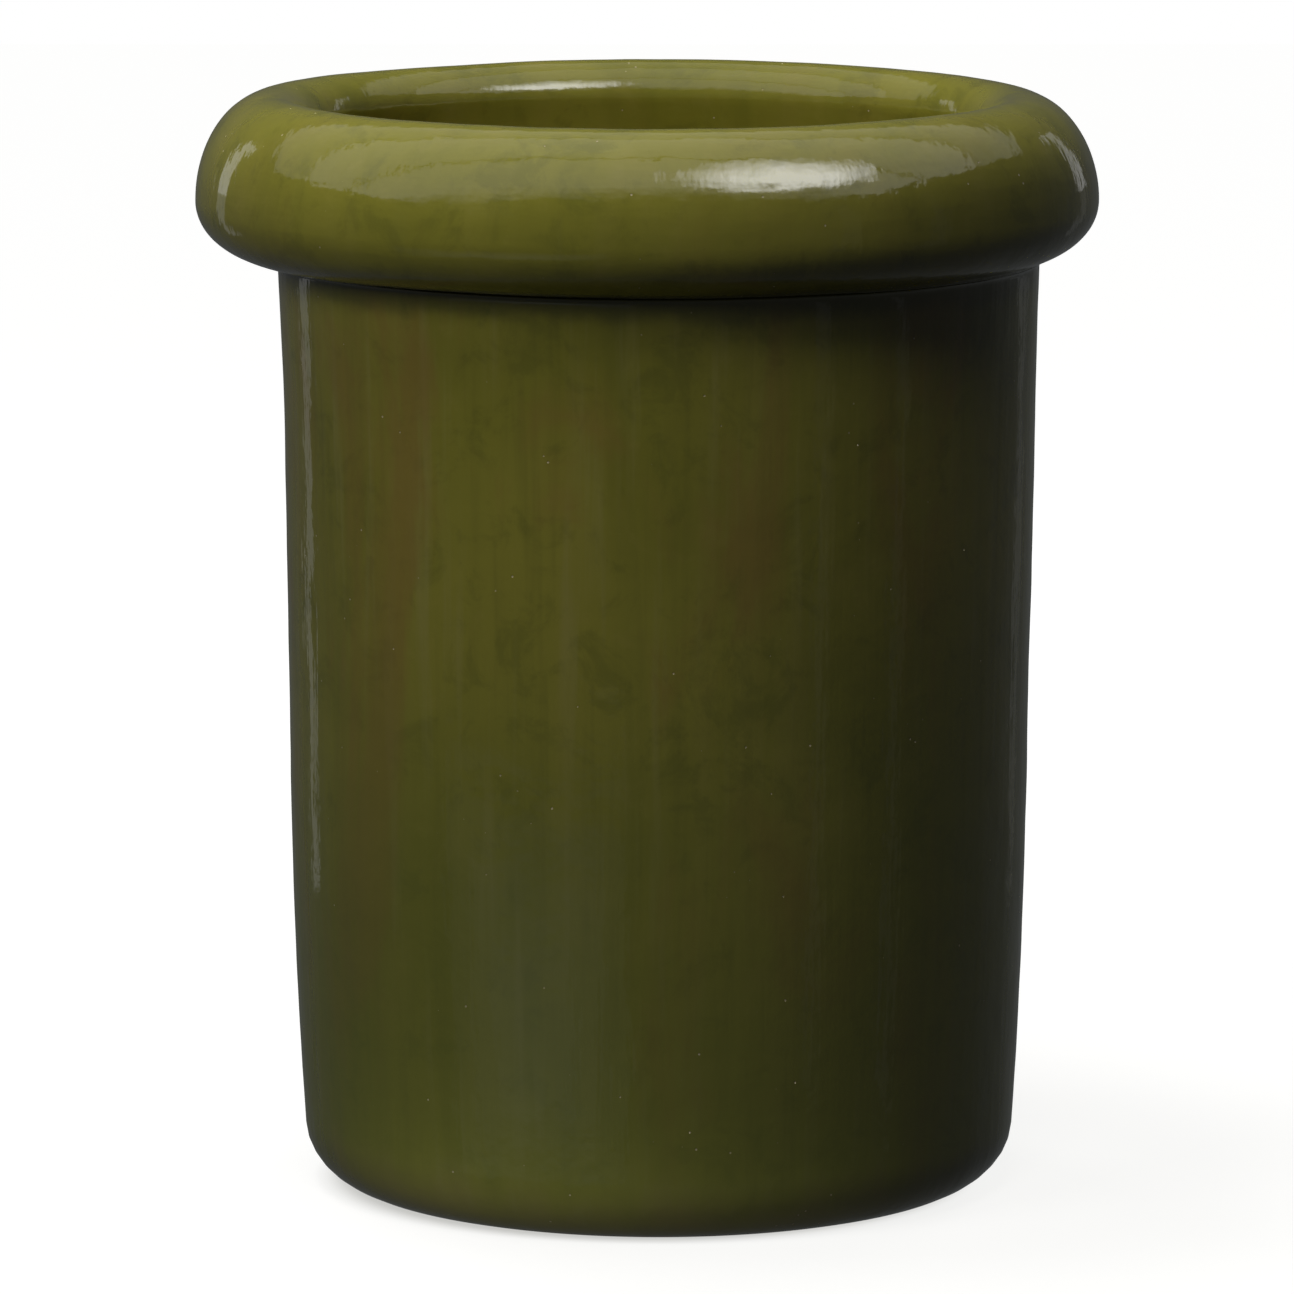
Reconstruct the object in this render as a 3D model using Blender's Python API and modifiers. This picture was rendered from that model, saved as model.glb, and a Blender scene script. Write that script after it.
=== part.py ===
"""A tall round glazed clay pot with a fat hollow roll for a rim, and a loose plug in its drain hole.

The pot is made of separate clay pieces joined with slip: a floor slab, two thrown wall sections, a roll
pressed in two halves, and a coil of clay worked into each joint. The wall runs up inside the roll to the
mouth, and the roll is hollow and open towards it. The mouth and the roll sit a little to one side of the
body, as hand-made rims do. Metres, +Z up. The origin is on the ground under the centre of the roll.
"""

from math import cos, pi, radians, sin, sqrt

import bpy

# ---- Driving sizes ----

# The whole pot
OVERALL_DIAMETER = 0.410
OVERALL_HEIGHT = 0.500

# The roll: how far its skin swells from its crown line, and how thick that skin is
ROLL_SWELL_OUT = 0.0354
ROLL_SWELL_UP = 0.0479
ROLL_SWELL_DOWN = 0.0263
ROLL_SKIN = 0.0090
ROLL_OVERHANG = 0.0320
LIP_ROUNDING = 0.0170
BODY_SHIFT = 0.0055
VENT_DIAMETER = 0.0050

# The wall: its thickness, and how much it narrows from the roll down to each level
WALL_THICKNESS = 0.0145
SEAM_LEVEL = 0.2870
SEAM_NARROWING = 0.0030
HIP_LEVEL = 0.1440
HIP_NARROWING = 0.0052
FOOT_NARROWING = 0.0120
FOOT_ROUNDING = 0.0265
SEAM_SLOPE = 0.0060

# The floor slab
FLOOR_THICKNESS = 0.0140
FOOT_RING_WIDTH = 0.0120
FOOT_RECESS = 0.0040
DRAIN_DIAMETER = 0.0280
DRAIN_CHAMFER = 0.0015

# The coils worked into the joints
BASE_COIL_SIZE = 0.0140
SEAM_COIL_HEIGHT = 0.0280
SEAM_COIL_THICKNESS = 0.0028
NECK_COIL_SIZE = 0.0120
COIL_EDGE = 0.0010

# The plug
PLUG_FLANGE_WIDTH = 0.0050
PLUG_FLANGE_THICKNESS = 0.0030
PLUG_TAPER = 0.0020
PLUG_SHOWS_BELOW = 0.0015
GRIP_DIAMETER = 0.0180
GRIP_NECK_DIAMETER = 0.0110
GRIP_HEIGHT = 0.0100

# Fits
JOINT_GAP = 0.0003
PLUG_CLEARANCE = 0.0004
CUT_PAST = 0.0050

# How finely round things are divided
RING_STEPS = 48
PLUG_STEPS = 24
ROLL_POINTS = 6
HOLLOW_POINTS = 4
CORNER_POINTS = 4
LEAN_ROWS = 4

# ---- Sizes that follow from them ----

CROWN_RADIUS = OVERALL_DIAMETER / 2 - ROLL_SWELL_OUT
CROWN_LEVEL = OVERALL_HEIGHT - ROLL_SWELL_UP
ROLL_UNDERSIDE = CROWN_LEVEL - ROLL_SWELL_DOWN
MOUTH_RADIUS = CROWN_RADIUS - LIP_ROUNDING
MOUTH_LEVEL = OVERALL_HEIGHT - LIP_ROUNDING
NECK_RADIUS = OVERALL_DIAMETER / 2 - ROLL_OVERHANG
DRAIN_RADIUS = DRAIN_DIAMETER / 2
PLUG_SEAT = FLOOR_THICKNESS + JOINT_GAP

# ---- Colours, as linear red, green and blue ----

OLIVE_GLAZE = (0.060, 0.062, 0.010)
DARK_GLAZE = (0.045, 0.047, 0.009)
BARE_CLAY = (0.420, 0.165, 0.085)
SMEARED_CLAY = (0.360, 0.140, 0.072)
BLACK_RUBBER = (0.018, 0.018, 0.018)


def clear_scene():
    """Remove whatever the scene already holds."""
    for old in list(bpy.data.objects):
        bpy.data.objects.remove(old, do_unlink=True)


def new_collection(name):
    """Make a collection in the scene."""
    collection = bpy.data.collections.new(name)
    bpy.context.scene.collection.children.link(collection)
    return collection


def give_material(thing, colour, roughness):
    """Give an object a plain material of its own."""
    material = bpy.data.materials.new(thing.name + "_material")
    material.use_nodes = True
    shader = material.node_tree.nodes["Principled BSDF"]
    shader.inputs["Base Color"].default_value = (*colour, 1.0)
    shader.inputs["Roughness"].default_value = roughness
    shader.inputs["Metallic"].default_value = 0.0
    material.diffuse_color = (*colour, 1.0)
    thing.data.materials.append(material)


def turn(name, outlines, collection, centre_x, steps=RING_STEPS):
    """Turn outlines of (radius, height) about an upright axis, and give the result crisp corners.

    A closed outline makes a ring. An outline whose ends are on the axis makes a solid piece and stays open.
    """
    points = []
    edges = []
    for outline in outlines:
        first = len(points)
        points += [(radius, 0.0, height) for radius, height in outline]
        edges += [(i, i + 1) for i in range(first, len(points) - 1)]
        if outline[0][0] > 0.0:
            edges.append((len(points) - 1, first))
    profile = bpy.data.meshes.new(name)
    profile.from_pydata(points, edges, [])
    thing = bpy.data.objects.new(name, profile)
    collection.objects.link(thing)
    screw = thing.modifiers.new("turn", "SCREW")
    screw.axis = "Z"
    screw.angle = 2 * pi
    screw.steps = steps
    screw.render_steps = steps
    screw.use_merge_vertices = True
    screw.merge_threshold = 0.00001
    bpy.context.view_layer.update()
    turned = bpy.data.meshes.new_from_object(thing.evaluated_get(bpy.context.evaluated_depsgraph_get()))
    turned.shade_smooth()
    turned.set_sharp_from_angle(angle=radians(35))
    thing.modifiers.clear()
    thing.data = turned
    turned.name = name
    bpy.data.meshes.remove(profile)
    thing.location.x = centre_x
    return thing


def make_cutter(thing):
    """Show a piece as a wire guide only."""
    thing.hide_render = True
    thing.display_type = "WIRE"
    return thing


def cut(thing, cutter):
    """Take a cutter's shape out of a piece."""
    boolean = thing.modifiers.new("cut_" + cutter.name, "BOOLEAN")
    boolean.operation = "DIFFERENCE"
    boolean.solver = "EXACT"
    boolean.object = cutter


def keep_inside(thing, form):
    """Trim a piece to what lies inside a form."""
    boolean = thing.modifiers.new("keep_inside_" + form.name, "BOOLEAN")
    boolean.operation = "INTERSECT"
    boolean.solver = "EXACT"
    boolean.object = form


def lean(thing):
    """Move the part of a piece above the roll's underside over, from the body's axis to the roll's axis."""
    for vertex in thing.data.vertices:
        share = (vertex.co.z - ROLL_UNDERSIDE) / (MOUTH_LEVEL - ROLL_UNDERSIDE)
        share = min(max(share, 0.0), 1.0)
        vertex.co.x -= BODY_SHIFT * share * share * (3 - 2 * share)
    return thing


def wall_radius(height):
    """Return the wall's outer radius at a height, without the rounding at its foot."""
    levels = [
        (0.0, NECK_RADIUS - FOOT_NARROWING),
        (HIP_LEVEL, NECK_RADIUS - HIP_NARROWING),
        (SEAM_LEVEL, NECK_RADIUS - SEAM_NARROWING),
        (ROLL_UNDERSIDE, NECK_RADIUS),
        (MOUTH_LEVEL, MOUTH_RADIUS + WALL_THICKNESS),
    ]
    for (low, low_radius), (high, high_radius) in zip(levels, levels[1:]):
        if height <= high:
            return low_radius + (high_radius - low_radius) * (height - low) / (high - low)
    return MOUTH_RADIUS + WALL_THICKNESS


def bore_radius(height):
    """Return the radius of the wall's inner face at a height."""
    return wall_radius(height) - WALL_THICKNESS


def foot_radius(height):
    """Return the outer radius at a height in the rounding of the foot."""
    drop = FOOT_ROUNDING - min(height, FOOT_ROUNDING)
    return wall_radius(height) - FOOT_ROUNDING + sqrt(FOOT_ROUNDING**2 - drop**2)


def lip_height(radius):
    """Return the height of the pot's top surface at a radius from the mouth to the roll's outer edge."""
    if radius <= CROWN_RADIUS:
        return MOUTH_LEVEL + sqrt(max(LIP_ROUNDING**2 - (CROWN_RADIUS - radius) ** 2, 0.0))
    share = (radius - CROWN_RADIUS) / ROLL_SWELL_OUT
    return CROWN_LEVEL + ROLL_SWELL_UP * sqrt(max(1 - share**2, 0.0))


def roll_arc(start, end, shrink, count):
    """Return points down the roll's outer side, between angles from its crown, drawn in by a thickness."""
    points = []
    for step in range(count + 1):
        angle = radians(start + (end - start) * step / count)
        upright = ROLL_SWELL_UP if cos(angle) >= 0 else ROLL_SWELL_DOWN
        radius = CROWN_RADIUS + (ROLL_SWELL_OUT - shrink) * sin(angle)
        points.append((radius, CROWN_LEVEL + (upright - shrink) * cos(angle)))
    return points


def lean_levels():
    """Return the levels from the roll's underside to the mouth where the leaning wall has a row of points."""
    rise = MOUTH_LEVEL - ROLL_UNDERSIDE
    return [ROLL_UNDERSIDE + rise * row / LEAN_ROWS for row in range(LEAN_ROWS + 1)]


def make_base_slab(parts):
    """Make the floor, with the rounded outer edge, a foot ring and the drain hole."""
    edge = []
    for step in range(CORNER_POINTS + 1):
        # Equal turns round the corner, from the slab's top face down to the ground
        top_angle = sqrt(FLOOR_THICKNESS / FOOT_ROUNDING)
        share = (top_angle * (1 - step / CORNER_POINTS)) ** 2
        height = FOOT_ROUNDING * share
        edge.append((foot_radius(height), height))
    recess_edge = edge[-1][0] - FOOT_RING_WIDTH
    underside = [
        (recess_edge, 0.0),
        (recess_edge - FOOT_RECESS, FOOT_RECESS),
        (DRAIN_RADIUS, FOOT_RECESS),
    ]
    drain_top = [
        (DRAIN_RADIUS, FLOOR_THICKNESS - DRAIN_CHAMFER),
        (DRAIN_RADIUS + DRAIN_CHAMFER, FLOOR_THICKNESS),
    ]
    slab = turn("base_slab", [edge + underside + drain_top], parts, BODY_SHIFT)
    give_material(slab, DARK_GLAZE, 0.30)


def make_lower_wall(parts):
    """Make the lower thrown section, from the floor slab up to the sloped seam."""
    bottom = FLOOR_THICKNESS + JOINT_GAP
    outer_top = SEAM_LEVEL - SEAM_SLOPE / 2
    inner_top = SEAM_LEVEL + SEAM_SLOPE / 2
    outside = [(wall_radius(outer_top), outer_top), (wall_radius(HIP_LEVEL), HIP_LEVEL)]
    for step in range(CORNER_POINTS - 1):
        height = FOOT_ROUNDING + (bottom - FOOT_ROUNDING) * step / (CORNER_POINTS - 2)
        outside.append((foot_radius(height), height))
    inside = [(bore_radius(level), level) for level in (bottom, HIP_LEVEL, SEAM_LEVEL, inner_top)]
    wall = turn("lower_wall", [outside + inside], parts, BODY_SHIFT)
    give_material(wall, OLIVE_GLAZE, 0.22)


def make_upper_wall(parts):
    """Make the upper thrown section, from the sloped seam up to the rounded lip of the mouth."""
    outer_bottom = SEAM_LEVEL - SEAM_SLOPE / 2 + JOINT_GAP * 2
    inner_bottom = SEAM_LEVEL + SEAM_SLOPE / 2 + JOINT_GAP * 2
    top_radius = wall_radius(MOUTH_LEVEL)
    outside = [(top_radius, lip_height(top_radius))]
    outside += [(wall_radius(level), level) for level in reversed(lean_levels())]
    outside += [(wall_radius(level), level) for level in (SEAM_LEVEL, outer_bottom)]
    inside = [(bore_radius(level), level) for level in [inner_bottom] + lean_levels()]
    for step in range(1, CORNER_POINTS + 1):
        radius = CROWN_RADIUS - LIP_ROUNDING * cos(pi / 2 * step / (CORNER_POINTS + 1))
        if radius < top_radius - COIL_EDGE:
            inside.append((radius, lip_height(radius)))
    wall = lean(turn("upper_wall", [outside + inside], parts, BODY_SHIFT))
    give_material(wall, OLIVE_GLAZE, 0.22)


def make_wall_form(cutters):
    """Make a guide of the space that the wall and its joint gap take up inside the roll."""
    low = ROLL_UNDERSIDE - CUT_PAST
    high = OVERALL_HEIGHT + CUT_PAST
    levels = [high] + list(reversed(lean_levels())) + [low]
    side = [(wall_radius(level) + JOINT_GAP, level) for level in levels]
    form = turn("wall_form", [[(0.0, high)] + side + [(0.0, low)]], cutters, BODY_SHIFT)
    return make_cutter(lean(form))


def make_roll_upper(parts, wall_form):
    """Make the roll's upper half, a cap from the mouth's lip over to the widest level."""
    inner = CROWN_RADIUS - LIP_ROUNDING / 2
    over = [(inner, lip_height(inner))] + roll_arc(0, 90, 0.0, ROLL_POINTS)
    under = list(reversed(roll_arc(0, 90, ROLL_SKIN, HOLLOW_POINTS)))
    outline = over + under + [(inner, OVERALL_HEIGHT - ROLL_SKIN)]
    roll = turn("roll_upper", [outline], parts, 0.0)
    cut(roll, wall_form)
    give_material(roll, OLIVE_GLAZE, 0.18)


def make_roll_lower(parts, cutters, wall_form):
    """Make the roll's lower half, a gutter from the widest level in to the wall, with a steam vent."""
    inner = NECK_RADIUS - BODY_SHIFT - ROLL_SKIN
    over = roll_arc(90, 180, 0.0, ROLL_POINTS) + [(inner, ROLL_UNDERSIDE)]
    floor = list(reversed(roll_arc(90, 180, ROLL_SKIN, HOLLOW_POINTS)))
    outline = over + [(inner, ROLL_UNDERSIDE + ROLL_SKIN)] + floor
    lowered = [(radius, height - (JOINT_GAP if height > CROWN_LEVEL - JOINT_GAP else 0.0))
               for radius, height in outline]
    roll = turn("roll_lower", [lowered], parts, 0.0)
    cut(roll, wall_form)

    # The vent goes up through the underside at the back, clear of the coil in the corner
    vent_place = NECK_RADIUS + NECK_COIL_SIZE + VENT_DIAMETER / 2
    vent_section = [
        (0.0, CROWN_LEVEL),
        (VENT_DIAMETER / 2, CROWN_LEVEL),
        (VENT_DIAMETER / 2, ROLL_UNDERSIDE - CUT_PAST),
        (0.0, ROLL_UNDERSIDE - CUT_PAST),
    ]
    vent = make_cutter(turn("vent_cutter", [vent_section], cutters, 0.0, steps=12))
    vent.location.y = vent_place
    cut(roll, vent)
    give_material(roll, DARK_GLAZE, 0.18)


def make_base_coil(parts):
    """Make the coil in the corner between the floor and the wall, hollowed by a fingertip."""
    low = FLOOR_THICKNESS + JOINT_GAP
    high = low + BASE_COIL_SIZE
    reach = bore_radius(low) - JOINT_GAP - BASE_COIL_SIZE
    face = [(bore_radius(high) - JOINT_GAP, high), (bore_radius(low) - JOINT_GAP, low)]
    outline = face + [(reach, low), (reach, low + COIL_EDGE)]
    sweep = BASE_COIL_SIZE - COIL_EDGE
    for step in range(1, CORNER_POINTS):
        angle = pi / 2 * step / CORNER_POINTS
        outline.append((reach + sweep * sin(angle), high - sweep * cos(angle)))
    outline.append((bore_radius(high) - JOINT_GAP - COIL_EDGE, high))
    coil = turn("base_coil", [outline], parts, BODY_SHIFT)
    give_material(coil, SMEARED_CLAY, 0.85)


def make_seam_coil(parts):
    """Make the coil smeared flat over the seam between the two wall sections."""
    high = SEAM_LEVEL + SEAM_COIL_HEIGHT / 2
    low = SEAM_LEVEL - SEAM_COIL_HEIGHT / 2
    outline = [(bore_radius(level) - JOINT_GAP, level) for level in (high, SEAM_LEVEL, low)]
    for step in range(CORNER_POINTS + 1):
        share = step / CORNER_POINTS
        level = low + SEAM_COIL_HEIGHT * share
        bulge = (SEAM_COIL_THICKNESS - COIL_EDGE) * sin(pi * share)
        outline.append((bore_radius(level) - JOINT_GAP - COIL_EDGE - bulge, level))
    coil = turn("seam_coil", [outline], parts, BODY_SHIFT)
    give_material(coil, SMEARED_CLAY, 0.85)


def make_neck_coil(parts, cutters, wall_form):
    """Make the coil in the corner inside the roll, between the wall's outer face and the lower half."""
    low = ROLL_UNDERSIDE + ROLL_SKIN + JOINT_GAP
    high = low + NECK_COIL_SIZE
    wall_face = NECK_RADIUS - WALL_THICKNESS / 2
    reach = NECK_RADIUS + JOINT_GAP + NECK_COIL_SIZE
    outline = [(NECK_RADIUS + COIL_EDGE, high)]
    sweep = NECK_COIL_SIZE - COIL_EDGE
    for step in range(1, CORNER_POINTS + 1):
        angle = pi / 2 * step / CORNER_POINTS
        outline.append((reach - sweep * cos(angle), high - sweep * sin(angle)))
    outline += [(reach, low - CUT_PAST), (wall_face, low - CUT_PAST), (wall_face, high)]
    coil = lean(turn("neck_coil", [outline], parts, BODY_SHIFT))
    cut(coil, wall_form)
    hollow_side = roll_arc(90, 180, ROLL_SKIN + JOINT_GAP, HOLLOW_POINTS)
    hollow = [(0.0, CROWN_LEVEL)] + hollow_side + [(0.0, low)]
    keep_inside(coil, make_cutter(turn("hollow_form", [hollow], cutters, 0.0)))
    give_material(coil, SMEARED_CLAY, 0.85)


def make_drain_plug(parts):
    """Make the tapered stopper, which hangs by its flange in the drain hole and has a grip on top."""
    flange_top = PLUG_SEAT + PLUG_FLANGE_THICKNESS
    flange_radius = DRAIN_RADIUS + DRAIN_CHAMFER + PLUG_FLANGE_WIDTH
    shank_top = DRAIN_RADIUS - PLUG_CLEARANCE
    grip_top = flange_top + GRIP_HEIGHT
    ease = PLUG_FLANGE_THICKNESS / 4
    outline = [
        (0.0, grip_top),
        (GRIP_DIAMETER / 2 - ease, grip_top),
        (GRIP_DIAMETER / 2, grip_top - ease),
        (GRIP_DIAMETER / 2, grip_top - GRIP_HEIGHT / 3),
        (GRIP_NECK_DIAMETER / 2, grip_top - GRIP_HEIGHT / 2),
        (GRIP_NECK_DIAMETER / 2, flange_top + ease),
        (GRIP_NECK_DIAMETER / 2 + ease, flange_top),
        (flange_radius - ease, flange_top),
        (flange_radius, flange_top - ease),
        (flange_radius, PLUG_SEAT),
        (shank_top, PLUG_SEAT),
        (shank_top - PLUG_TAPER, FOOT_RECESS - PLUG_SHOWS_BELOW),
        (0.0, FOOT_RECESS - PLUG_SHOWS_BELOW),
    ]
    # The plug lifts along its own axis, so its origin is on that axis where the flange rests
    seated = [(radius, height - PLUG_SEAT) for radius, height in outline]
    plug = turn("drain_plug", [seated], parts, BODY_SHIFT, steps=PLUG_STEPS)
    plug.location.z = PLUG_SEAT
    give_material(plug, BLACK_RUBBER, 0.60)


def main():
    clear_scene()
    parts = new_collection("terracotta_pot")
    cutters = new_collection("terracotta_pot_cutters")
    make_base_slab(parts)
    make_lower_wall(parts)
    make_upper_wall(parts)
    wall_form = make_wall_form(cutters)
    make_roll_lower(parts, cutters, wall_form)
    make_roll_upper(parts, wall_form)
    make_base_coil(parts)
    make_seam_coil(parts)
    make_neck_coil(parts, cutters, wall_form)
    make_drain_plug(parts)


main()
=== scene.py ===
# %% [markdown]
# # A glazed clay pot with a hollow roll for a rim
# The real pot is built by hand from separate pieces of clay: a floor slab, two thrown wall sections and a
# roll, joined with slip and with coils worked into the joints. Then it is dipped in an olive glaze. The
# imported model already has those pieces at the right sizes. This lesson makes the skins that one sees: clay
# that was touched by hands, a glaze that ran and pooled, and a moulded rubber plug.

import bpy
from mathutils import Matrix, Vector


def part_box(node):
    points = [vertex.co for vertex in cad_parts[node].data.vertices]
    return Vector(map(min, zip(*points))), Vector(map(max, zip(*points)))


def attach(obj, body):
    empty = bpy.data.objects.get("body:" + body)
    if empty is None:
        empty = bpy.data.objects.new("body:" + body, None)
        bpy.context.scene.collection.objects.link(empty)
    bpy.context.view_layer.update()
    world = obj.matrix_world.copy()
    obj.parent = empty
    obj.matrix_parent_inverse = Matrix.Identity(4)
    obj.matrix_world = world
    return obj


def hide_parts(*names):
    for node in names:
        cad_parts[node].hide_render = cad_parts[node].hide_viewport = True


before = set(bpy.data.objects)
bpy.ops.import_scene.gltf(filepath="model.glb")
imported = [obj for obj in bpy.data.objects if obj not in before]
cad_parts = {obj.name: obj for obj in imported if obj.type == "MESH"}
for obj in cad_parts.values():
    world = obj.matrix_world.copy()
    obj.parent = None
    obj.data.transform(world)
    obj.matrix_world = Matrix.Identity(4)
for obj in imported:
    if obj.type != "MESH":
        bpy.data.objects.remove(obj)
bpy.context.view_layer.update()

# %% [markdown]
# ## Measure before making
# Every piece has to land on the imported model, so the sizes come from the boxes of its nodes. The roll gives
# the outer radius and the top. The lower wall gives the axis of the body, which is a little to the right of
# the roll's axis, because the rim was made freely by hand.

# %% Take the main sizes from the nodes
from math import atan2, cos, degrees, hypot, pi, radians, sin, sqrt

import bpy
import numpy as np

MM = 0.001
roll_low, roll_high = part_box("roll_upper")
wall_low, wall_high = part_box("lower_wall")
pot_top = roll_high.z
roll_radius = (roll_high.x - roll_low.x) / 2
widest_level = roll_low.z
body_x = (wall_low.x + wall_high.x) / 2
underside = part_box("roll_lower")[0].z
slab_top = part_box("base_slab")[1].z
crown_radius = roll_radius - 35.4 * MM
lip_rounding = 17 * MM
mouth_level = pot_top - lip_rounding
wall_thickness = 14.5 * MM
foot_rounding = 26.5 * MM
ring_width = 12 * MM
ring_recess = 4 * MM
roll_skin = 9 * MM
roll_out = roll_radius - crown_radius
roll_up = pot_top - widest_level
roll_down = widest_level - underside
print("roll radius", round(roll_radius / MM, 1), "top", round(pot_top / MM, 1))
print("the body's axis is", round(body_x / MM, 1), "mm to the right of the roll's")

# %% [markdown]
# ## Draw the wall's line
# A thrown wall isn't a cone: it swells gently from the foot and straightens under the rim. One smooth curve
# through four chosen radii gives that line without a kink at any of them.

# %% The wall's outer radius at a height
wall_levels = [0.0, 0.144, 0.287, underside]
wall_radii = [0.1610, 0.1678, 0.1700, 0.1730]
wall_curve = np.polyfit(wall_levels, wall_radii, 3)


def wall_face(height):
    """Give the wall's outer radius, from the body's axis."""
    return float(np.polyval(wall_curve, height))


def foot_face(height):
    """Give the outer radius in the rounded corner of the foot."""
    drop = foot_rounding - min(height, foot_rounding)
    return wall_face(height) - foot_rounding + sqrt(max(foot_rounding**2 - drop**2, 0.0))


def bore_face(height):
    """Give the inner radius: it follows the wall, and then closes in a little to the mouth."""
    share = min(max((height - underside) / (mouth_level - underside), 0.0), 1.0)
    straight = wall_face(min(height, underside)) - wall_thickness
    return straight + (crown_radius - lip_rounding - straight) * share


print("wall radius at foot, middle and rim:", [round(wall_face(z) / MM, 1) for z in (0.03, 0.2, 0.42)])

# %% [markdown]
# ## Draw by extruding one point, then spin
# A pot is a turned shape. One way is a stack of rings, another is a Screw modifier. Here the half section is
# drawn as by hand: a plane is merged to a single point, the point is extruded along the section, and Spin
# carries it round the axis. The section stays in sight as one list of points that is easy to change.

# %% Draw a section and spin it
sharp_angle = radians(50)


def only(thing):
    """Make one object the selected and active one."""
    bpy.ops.object.select_all(action="DESELECT")
    thing.select_set(True)
    bpy.context.view_layer.objects.active = thing


def draw_section(name, loops):
    """Draw closed loops of (radius, height) by extruding single points."""
    lines = []
    for loop in loops:
        bpy.ops.object.select_all(action="DESELECT")
        bpy.ops.mesh.primitive_plane_add(size=0.01, location=(0.0, 0.0, 0.0))
        bpy.ops.object.mode_set(mode="EDIT")
        bpy.ops.mesh.select_mode(type="VERT")
        bpy.ops.mesh.merge(type="CENTER")
        bpy.ops.transform.translate(value=(loop[0][0], 0.0, loop[0][1]))
        for (near, low), (far, high) in zip(loop, loop[1:]):
            step = (far - near, 0.0, high - low)
            bpy.ops.mesh.extrude_vertices_move(TRANSFORM_OT_translate={"value": step})
        bpy.ops.object.mode_set(mode="OBJECT")
        line = bpy.context.object
        line.data.vertices[0].select = True
        bpy.ops.object.mode_set(mode="EDIT")
        bpy.ops.mesh.edge_face_add()
        bpy.ops.object.mode_set(mode="OBJECT")
        lines.append(line)
    only(lines[0])
    for line in lines:
        line.select_set(True)
    if len(lines) > 1:
        bpy.ops.object.join()
    section = bpy.context.object
    section.name = section.data.name = name
    return section


def spin_section(thing, centre_x, steps):
    """Spin a section, drawn about the origin, all the way round an upright axis."""
    only(thing)
    bpy.ops.object.mode_set(mode="EDIT")
    bpy.ops.mesh.select_all(action="SELECT")
    bpy.ops.mesh.spin(steps=steps, angle=2 * pi, center=(0.0, 0.0, 0.0), axis=(0.0, 0.0, 1.0))
    bpy.ops.mesh.select_all(action="SELECT")
    bpy.ops.mesh.remove_doubles(threshold=0.00001)
    bpy.ops.mesh.delete_loose()
    bpy.ops.mesh.select_all(action="SELECT")
    bpy.ops.mesh.normals_make_consistent(inside=False)
    bpy.ops.transform.translate(value=(centre_x, 0.0, 0.0))
    bpy.ops.object.mode_set(mode="OBJECT")
    bpy.ops.object.shade_smooth_by_angle(angle=sharp_angle)
    print(thing.name, "has", len(thing.data.polygons), "faces")
    assert len(thing.data.polygons) > 1000, thing.name + " was not spun"
    return thing


def pick_faces(thing, rule):
    """Go into edit mode with just the faces selected whose centre (x, y, z) the rule accepts."""
    only(thing)
    bpy.ops.object.mode_set(mode="EDIT")
    bpy.ops.mesh.select_mode(type="FACE")
    bpy.ops.mesh.select_all(action="DESELECT")
    bpy.ops.object.mode_set(mode="OBJECT")
    for face in thing.data.polygons:
        face.select = rule(*face.center)
    print("picked", sum(face.select for face in thing.data.polygons), "faces of", thing.name)
    bpy.ops.object.mode_set(mode="EDIT")


# %% [markdown]
# ## Hands leave a trace
# No ring on a hand-made pot is truly round. A Displace modifier with a soft cloud texture moves the surface
# by less than a millimetre. A vertex group says how much each point may move, so the foot stays flat.

# %% Helpers for vertex groups and hand-made unevenness


def weigh(thing, name, rule):
    """Make a vertex group whose weight at each point comes from a rule of (x, y, z)."""
    group = thing.vertex_groups.new(name=name)
    for vertex in thing.data.vertices:
        weight = rule(*vertex.co)
        if weight > 0.0:
            group.add([vertex.index], min(weight, 1.0), "REPLACE")
    return group


def uneven(thing, name, size, depth, group="", direction="NORMAL"):
    """Push the surface in and out with a cloud texture of the given size and depth."""
    texture = bpy.data.textures.new(name, "CLOUDS")
    texture.noise_scale = size
    texture.noise_depth = 1
    push = thing.modifiers.new(name, "DISPLACE")
    push.texture = texture
    push.texture_coords = "LOCAL"
    push.direction = direction
    push.mid_level = 0.5
    push.strength = 2 * depth
    push.vertex_group = group
    only(thing)
    bpy.ops.object.modifier_apply(modifier=name)


def ease(share):
    """Go smoothly from 0 to 1."""
    share = min(max(share, 0.0), 1.0)
    return share * share * (3 - 2 * share)


# %% [markdown]
# ## The glazed body
# Once it is fired, the walls and the roll read as one continuous skin, because the joints are smeared and
# the glaze runs over them. So one section is drawn from the foot ring up the wall, round the roll, over the
# lip and down the inside, with the roll's closed hollow as a second loop. The corner under the roll is
# rounded by 3 mm, where slip was wiped in and glaze pooled. The inside keeps shallow throwing rings.

# %% The section of the body
crease = 3 * MM
rebate_top = ring_recess + 0.5 * MM
roll_end = 172


def roll_line(start, end, inset, count):
    """Give points down the roll's outer side, between two angles from its crown."""
    line = []
    for step in range(count + 1):
        angle = radians(start + (end - start) * step / count)
        upright = roll_up if cos(angle) >= 0 else roll_down
        radius = crown_radius + (roll_out - inset) * sin(angle)
        line.append((radius, widest_level + (upright - inset) * cos(angle)))
    return line


def body_outside():
    """Give the outer line from the foot ring up to the crease under the roll."""
    ring = foot_face(0.0) - ring_width
    line = [(ring, rebate_top), (ring, 0.0)]
    for step in range(9):
        height = foot_rounding * (step / 8) ** 2
        line.append((foot_face(height), height))
    for height in np.linspace(foot_rounding, underside - crease, 112)[1:]:
        line.append((wall_face(height), float(height)))
    for step in range(1, 5):
        turn = pi / 2 * step / 5
        out = crease * (1 - cos(turn))
        line.append((wall_face(underside) + out, underside - crease * (1 - sin(turn))))
    return line


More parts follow.
